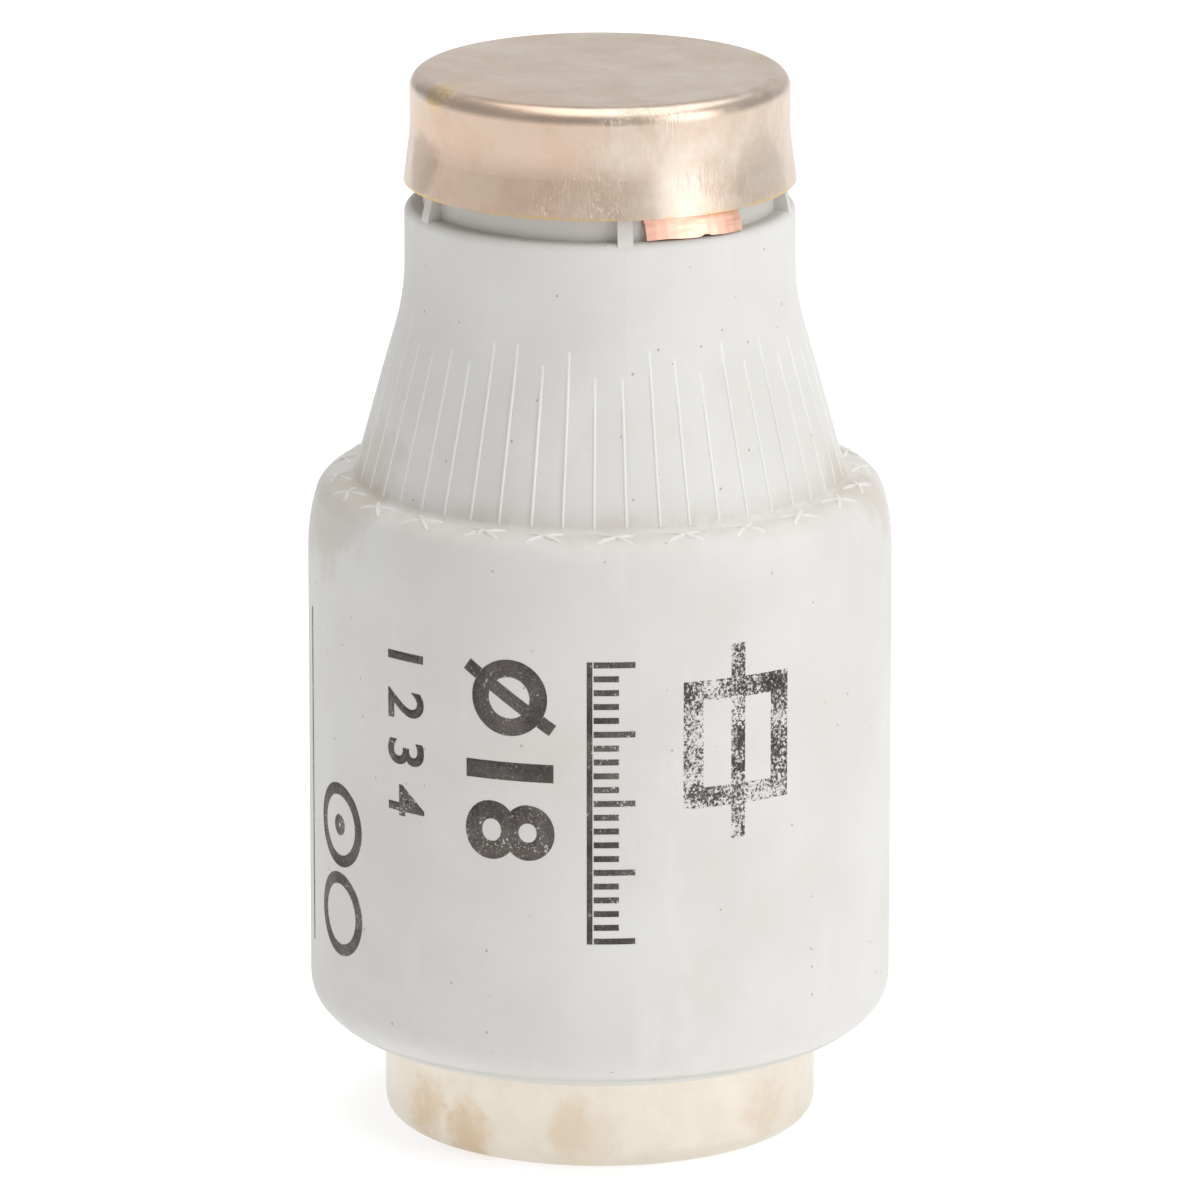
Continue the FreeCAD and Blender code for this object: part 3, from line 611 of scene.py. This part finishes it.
# ---------------------------------------------------------------- moulded detail of the porcelain
def add_ridge(bm, surface, start, stop, width, height, cuts=14, fade=0.15):
    """Lay a low rounded ridge on a surface from start to stop, fading in over a share of its length."""
    crown = bmesh.ops.create_grid(bm, x_segments=cuts, y_segments=3, size=0.5)["verts"]
    faces = list({face for vert in crown for face in vert.link_faces})
    copied = bmesh.ops.extrude_face_region(bm, geom=faces, use_keep_orig=True)["geom"]
    sole = [item for item in copied if isinstance(item, bmesh.types.BMVert)]
    course = stop - start
    for vert in crown + sole:
        share = vert.co.x + 0.5
        across = vert.co.y * width
        swell = min(1.0, RIDGE_END + share / fade, RIDGE_END + (1 - share) / RIDGE_STOP_FADE)
        raised = height * swell if abs(across) < width * RIDGE_CROWN else RIDGE_SKIRT * height
        spot, normal, _, _ = surface.find_nearest(start + course * share)
        side = normal.cross(course).normalized()
        spot, normal, _, _ = surface.find_nearest(spot + side * across)
        vert.co = spot + normal * (-height if vert in sole else raised)


def make_cone_ribs(surface):
    """Fine upright ridges round the cone, fading out below the neck."""
    bm = bmesh.new()
    chance = random.Random(4)
    foot_radius = BARREL_RADIUS - SHOULDER_WIDTH
    for number in range(CONE_RIB_COUNT):
        angle = CONE_RIB_PHASE + number * 360 / CONE_RIB_COUNT + chance.uniform(-0.25, 0.25)
        start = around(angle, FOOT_RADIUS + 0.6 * MM, CONE_RIB_START + chance.uniform(-1.2, 0.5) * MM)
        stop = around(angle, foot_radius, SHOULDER + 0.25 * MM)
        height = CONE_RIB_HEIGHT * chance.uniform(0.7, 1.15)
        add_ridge(bm, surface, start, stop, CONE_RIB_WIDTH, height, fade=0.35)
    bmesh.ops.recalc_face_normals(bm, faces=bm.faces[:])
    smooth(new_piece("cone_ribs", bm, CLEAN_PORCELAIN_PAINTED_HIGHLIGHT), 50)


def make_shoulder_marks(surface):
    """Small raised crosses in a ring on the shoulder."""
    bm = bmesh.new()
    chance = random.Random(7)
    middle = BARREL_RADIUS - SHOULDER_WIDTH + 0.75 * MM
    half = SHOULDER_MARK_SIZE / 2
    for number in range(SHOULDER_MARK_COUNT):
        angle = SHOULDER_MARK_PHASE + number * 360 / SHOULDER_MARK_COUNT + chance.uniform(-0.9, 0.9)
        centre = around(angle, middle, SHOULDER)
        for tilt in (58, -58):
            arm = direction(angle + tilt + chance.uniform(-7, 7)) * half
            height = SHOULDER_MARK_HEIGHT * chance.uniform(0.7, 1.2)
            add_ridge(bm, surface, centre - arm, centre + arm, SHOULDER_MARK_WIDTH, height, cuts=5)
    bmesh.ops.recalc_face_normals(bm, faces=bm.faces[:])
    smooth(new_piece("shoulder_marks", bm, CLEAN_PORCELAIN_PAINTED_HIGHLIGHT), 50)


porcelain_surface = surface_of("ceramic_body")
make_cone_ribs(porcelain_surface)
make_shoulder_marks(porcelain_surface)


# ---------------------------------------------------------------- copper tail and spring
def in_tail(vert):
    """Whether a point is on the end of the strip that hangs down outside the porcelain."""
    return vert.co.xy.length > TAIL_RADIUS and vert.co.z > FOOT_RIM - TAIL_LENGTH


def make_front_strip():
    """Copper strip whose cut tail springs away from the porcelain, with a nick in its end."""
    bm = bmesh.new()
    bm.from_mesh(frame["nodes"]["fuse_element_front"].data)
    bmesh.ops.remove_doubles(bm, verts=bm.verts[:], dist=1e-7)
    bmesh.ops.dissolve_limit(bm, angle_limit=math.radians(1), verts=bm.verts[:], edges=bm.edges[:])
    tail = [vert.co.copy() for vert in bm.verts if in_tail(vert)]
    low = min(spot.z for spot in tail)
    outward = sum(tail, Vector()) / len(tail)
    outward.z = 0
    outward.normalize()
    along = Vector((-outward.y, outward.x, 0))
    half = max(spot.dot(along) for spot in tail)
    bend = FOOT_RIM + TAIL_BEND
    upward = Vector((0, 0, 1))
    cuts = []
    for step in range(1, TAIL_ROWS + 1):
        cuts.append((Vector((0, 0, low + (bend - low) * step / TAIL_ROWS)), upward))
    for step in range(1 - TAIL_COLUMNS, TAIL_COLUMNS):
        cuts.append((along * half * step / TAIL_COLUMNS, along))
    for spot, normal in cuts:
        near = [face for face in bm.faces if all(in_tail(vert) for vert in face.verts)]
        edges = {edge for face in near for edge in face.edges}
        verts = {vert for face in near for vert in face.verts}
        bmesh.ops.bisect_plane(
            bm, geom=list(verts) + list(edges) + near, dist=1e-9, plane_co=spot, plane_no=normal,
        )
    for vert in bm.verts:
        drop = (bend - vert.co.z) / (bend - low)
        if drop <= 0 or not in_tail(vert):
            continue
        side = vert.co.dot(along) / half
        wave = TAIL_WAVE_MM * math.sin(side * 4.0 + 0.6)
        flare = TAIL_FLARE_MM + TAIL_TILT_MM * side + wave
        vert.co += outward * flare * drop ** 1.5 * MM
        vert.co += along * TAIL_SHIFT_MM * min(1.0, drop * 2) * MM
        nick = max(0.0, 1 - abs(side - NICK_PLACE) / NICK_WIDTH)
        ragged = TAIL_RAGGED_MM * math.sin(side * 7.0)
        vert.co.z += (NICK_DEPTH_MM * nick + ragged - TAIL_EXTRA_MM) * drop ** 3 * MM
    bmesh.ops.recalc_face_normals(bm, faces=bm.faces[:])
    strip = new_piece("front_copper_strip", bm, COPPER)
    smooth(strip, 35)
    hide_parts("fuse_element_front")


def make_indicator_spring():
    """Coil spring that stretches between the cup's floor and the disc."""
    low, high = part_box("indicator_spring")
    wire = SPRING_WIRE / 2
    mean = high.x - wire
    bm = bmesh.new()
    section = bmesh.ops.create_circle(bm, segments=SPRING_SEGMENTS, radius=wire)["verts"]
    bmesh.ops.rotate(bm, verts=section, matrix=Matrix.Rotation(math.radians(90), 3, "X"))
    bmesh.ops.translate(bm, vec=(mean, 0, low.z + wire), verts=section)
    steps = SPRING_STEPS_PER_TURN * SPRING_TURNS
    rise = high.z - low.z - 2 * wire
    bmesh.ops.spin(
        bm, geom=bm.edges[:], cent=(0, 0, 0), axis=(0, 0, 1), angle=math.tau * SPRING_TURNS,
        steps=steps, dvec=(0, 0, rise / steps),
    )
    bmesh.ops.holes_fill(bm, edges=[edge for edge in bm.edges if edge.is_boundary])
    bmesh.ops.recalc_face_normals(bm, faces=bm.faces[:])
    spring = new_piece("indicator_coil_spring", bm, STEEL, body=None)
    smooth(spring, 50)
    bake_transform(spring)
    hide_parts("indicator_spring")


make_front_strip()
make_indicator_spring()


# ---------------------------------------------------------------- stamped marks on the barrel
def wrap(bm, angle, top):
    """Wrap a flat drawing round the barrel: its x runs down from top, its y runs to the right."""
    low = min(vert.co.y for vert in bm.verts)
    high = max(vert.co.y for vert in bm.verts)
    cut = low + INK_SLICE
    while cut < high:
        bmesh.ops.bisect_plane(
            bm, geom=bm.verts[:] + bm.edges[:] + bm.faces[:], dist=1e-9,
            plane_co=(0, cut, 0), plane_no=(0, 1, 0),
        )
        cut += INK_SLICE
    radius = BARREL_RADIUS + INK_THICKNESS
    for vert in bm.verts:
        turn = angle + math.degrees(vert.co.y / BARREL_RADIUS)
        vert.co = around(turn, radius, top - vert.co.x)


def draw_bar(bm, left, right, low, high):
    """A flat bar between two places along the drawing and two across it."""
    made = bmesh.ops.create_grid(bm, x_segments=1, y_segments=1, size=0.5)["verts"]
    centre = Vector(((left + right) / 2, (low + high) / 2, 0))
    bmesh.ops.scale(bm, vec=(right - left, high - low, 1), verts=made)
    bmesh.ops.translate(bm, vec=centre, verts=made)


def draw_ring(bm, centre, outer, inner):
    """A flat ring, made by joining two circles."""
    edges = []
    for radius in (outer, inner):
        made = bmesh.ops.create_circle(bm, segments=48, radius=radius)["verts"]
        bmesh.ops.translate(bm, vec=centre, verts=made)
        edges += list({edge for vert in made for edge in vert.link_edges})
    bmesh.ops.bridge_loops(bm, edges=edges)


def draw_number(bm, text, size, weight, left, low):
    """Plain digits as flat faces, fattened by weight."""
    curve = bpy.data.curves.new("digits", "FONT")
    curve.body = text
    curve.size = size
    curve.offset = weight
    curve.resolution_u = 6
    holder = bpy.data.objects.new("digits", curve)
    mesh = bpy.data.meshes.new_from_object(holder)
    known = len(bm.verts)
    bm.from_mesh(mesh)
    bm.verts.ensure_lookup_table()
    bmesh.ops.translate(bm, vec=(left, low, 0), verts=bm.verts[known:])
    bpy.data.objects.remove(holder)
    bpy.data.curves.remove(curve)
    bpy.data.meshes.remove(mesh)


def finish_mark(name, bm, angle, top, ink):
    """Wrap a drawing round the barrel and give it the depth of a closed film."""
    bmesh.ops.remove_doubles(bm, verts=bm.verts[:], dist=1e-8)
    wrap(bm, angle, top)
    copied = bmesh.ops.extrude_face_region(bm, geom=bm.faces[:], use_keep_orig=True)["geom"]
    for item in copied:
        if isinstance(item, bmesh.types.BMVert):
            item.co -= item.co.xy.normalized().to_3d() * INK_DEPTH
    bmesh.ops.recalc_face_normals(bm, faces=bm.faces[:])
    new_piece(name, bm, ink)


def make_guide_line():
    """Long thin line beside the marks."""
    bm = bmesh.new()
    length, width = 16.1 * MM, 0.22 * MM
    draw_bar(bm, 0, length, 0, width)
    finish_mark("mark_guide_line", bm, angle=-79.3, top=25.1 * MM, ink=INK)


def make_ring_marks():
    """Two plain rings, one with a dot."""
    bm = bmesh.new()
    middle = 2.75 * MM
    upper = (2.0 * MM, middle, 0)
    lower = (6.3 * MM, middle, 0)
    outer, inner = 2.0 * MM, 1.45 * MM
    draw_ring(bm, upper, outer, inner)
    draw_ring(bm, upper, outer=0.5 * MM, inner=0.1 * MM)
    draw_ring(bm, lower, outer, inner)
    finish_mark("mark_rings", bm, angle=-74, top=17.6 * MM, ink=INK)


def make_small_numbers():
    """Row of small plain numbers."""
    bm = bmesh.new()
    pitch_mm = 2.3
    for number in range(4):
        left = number * pitch_mm * MM
        draw_number(bm, str(number + 1), size=3.0 * MM, weight=0.05 * MM, left=left, low=0)
    finish_mark("mark_small_numbers", bm, angle=-45.3, top=25.5 * MM, ink=INK)


def make_gauge_number():
    """Bold diameter sign and number: the diameter of the foot contact."""
    bm = bmesh.new()
    centre = Vector((1.85 * MM, 2.05 * MM, 0))
    outer, inner, tip = 1.8 * MM, 0.98 * MM, 2.5 * MM
    slash_width, slash_lean = 0.6 * MM, -35
    draw_ring(bm, centre, outer, inner)
    for low, high in ((-tip, -outer), (-inner, inner), (outer, tip)):
        slash = bmesh.ops.create_grid(bm, x_segments=1, y_segments=1, size=0.5)["verts"]
        bmesh.ops.scale(bm, vec=(slash_width, high - low, 1), verts=slash)
        bmesh.ops.translate(bm, vec=(0, (low + high) / 2, 0), verts=slash)
        lean = Matrix.Rotation(math.radians(slash_lean), 3, "Z")
        bmesh.ops.rotate(bm, verts=slash, matrix=lean)
        bmesh.ops.translate(bm, vec=centre, verts=slash)
    draw_number(bm, "18", size=5.7 * MM, weight=0.15 * MM, left=3.9 * MM, low=0.1 * MM)
    finish_mark("mark_gauge_number", bm, angle=-26.4, top=25.4 * MM, ink=INK)


def make_tick_row():
    """Row of plain ticks, every fifth one longer."""
    bm = bmesh.new()
    pitch_mm, tick_width = 0.655, 0.28 * MM
    long_tick, short_tick = 1.9 * MM, 1.15 * MM
    base_length, base_low, base_high = 13.38 * MM, -0.32 * MM, -0.06 * MM
    for number in range(21):
        left = number * pitch_mm * MM
        high = long_tick if number % 5 == 0 else short_tick
        draw_bar(bm, left, left + tick_width, 0, high)
    draw_bar(bm, 0, base_length, base_low, base_high)
    finish_mark("mark_tick_row", bm, angle=-1.2, top=25.4 * MM, ink=INK)


def make_fuse_symbol():
    """Plain fuse symbol: a box with a line through it."""
    bm = bmesh.new()
    wide, tall, line, lead = 6.0 * MM, 5.4 * MM, 0.95 * MM, 1.6 * MM
    half_wire = 0.35 * MM
    side_low = line + INK_JOINT
    side_high = tall - line - INK_JOINT
    draw_bar(bm, lead, lead + wide, 0, line)
    draw_bar(bm, lead, lead + wide, tall - line, tall)
    draw_bar(bm, lead, lead + line, side_low, side_high)
    draw_bar(bm, lead + wide - line, lead + wide, side_low, side_high)
    low = tall / 2 - half_wire
    high = tall / 2 + half_wire
    draw_bar(bm, 0, lead - INK_JOINT, low, high)
    draw_bar(bm, lead + line + INK_JOINT, lead + wide - line - INK_JOINT, low, high)
    draw_bar(bm, lead + wide + INK_JOINT, lead * 2 + wide, low, high)
    finish_mark("mark_fuse_symbol", bm, angle=16.3, top=25.9 * MM, ink=FADED_INK)


make_guide_line()
make_ring_marks()
make_small_numbers()
make_gauge_number()
make_tick_row()
make_fuse_symbol()


# ---------------------------------------------------------------- floor, light and camera
def make_floor():
    """Pale floor just under the fuse; it can be seen through from below."""
    material, nodes, shader, place = new_material("pale_floor")
    tone = nodes.noise(place, scale=3.0, detail=2.0)
    nodes.feed(shader, "Base Color", nodes.mix(tone, FLOOR_DARK, FLOOR_LIGHT))
    nodes.feed(shader, "Roughness", 0.9)
    nodes.feed(shader, "Emission Color", WHITE)
    nodes.feed(shader, "Emission Strength", FLOOR_GLOW)
    below = nodes.add("ShaderNodeNewGeometry").outputs["Backfacing"]
    nodes.feed(shader, "Alpha", nodes.math("SUBTRACT", 1.0, below))
    bm = bmesh.new()
    bmesh.ops.create_grid(bm, x_segments=1, y_segments=1, size=FLOOR_SIZE)
    bmesh.ops.translate(bm, verts=bm.verts[:], vec=(0, 0, -FLOOR_DROP))
    mesh = bpy.data.meshes.new("floor")
    bm.to_mesh(mesh)
    bm.free()
    floor = bpy.data.objects.new("floor", mesh)
    mesh.materials.append(material)
    bpy.context.scene.collection.objects.link(floor)


def add_softbox(name, place, size, power):
    """A square area light that faces the middle of the fuse."""
    lamp = bpy.data.lights.new(name, "AREA")
    lamp.shape = "RECTANGLE"
    lamp.size, lamp.size_y = size
    lamp.energy = power
    holder = bpy.data.objects.new(name, lamp)
    holder.location = place
    aim = Vector((0, 0, CAMERA_AIM)) - Vector(place)
    holder.rotation_euler = aim.to_track_quat("-Z", "Y").to_euler()
    holder.visible_camera = False
    bpy.context.scene.collection.objects.link(holder)


def make_world():
    """Even white light from all round."""
    world = bpy.data.worlds.new("studio")
    world.use_nodes = True
    background = world.node_tree.nodes["Background"]
    background.inputs["Color"].default_value = WHITE
    background.inputs["Strength"].default_value = WORLD_STRENGTH
    bpy.context.scene.world = world


def make_camera():
    """Long lens in front of the fuse, looking slightly down on its middle."""
    lens = bpy.data.cameras.new("camera")
    lens.sensor_width = CAMERA_SENSOR
    lens.lens = CAMERA_LENS
    lens.clip_start = 0.01
    lens.clip_end = 20
    camera = bpy.data.objects.new("camera", lens)
    rise = math.radians(CAMERA_ELEVATION)
    offset = Vector((0, -math.cos(rise), math.sin(rise))) * CAMERA_DISTANCE
    camera.location = Vector((0, 0, CAMERA_AIM)) + offset
    camera.rotation_euler = (math.radians(90) - rise, 0, 0)
    bpy.context.scene.collection.objects.link(camera)
    bpy.context.scene.camera = camera


make_floor()
make_world()
add_softbox("key_right", place=(0.66, -0.44, 0.34), size=(0.5, 0.6), power=2.6)
add_softbox("top", place=(0.12, 0.0, 1.0), size=(1.2, 1.2), power=8.5)
add_softbox("back", place=(0.1, 0.95, 0.3), size=(1.4, 0.5), power=0.9)
make_camera()
bpy.context.scene.view_settings.view_transform = "Standard"
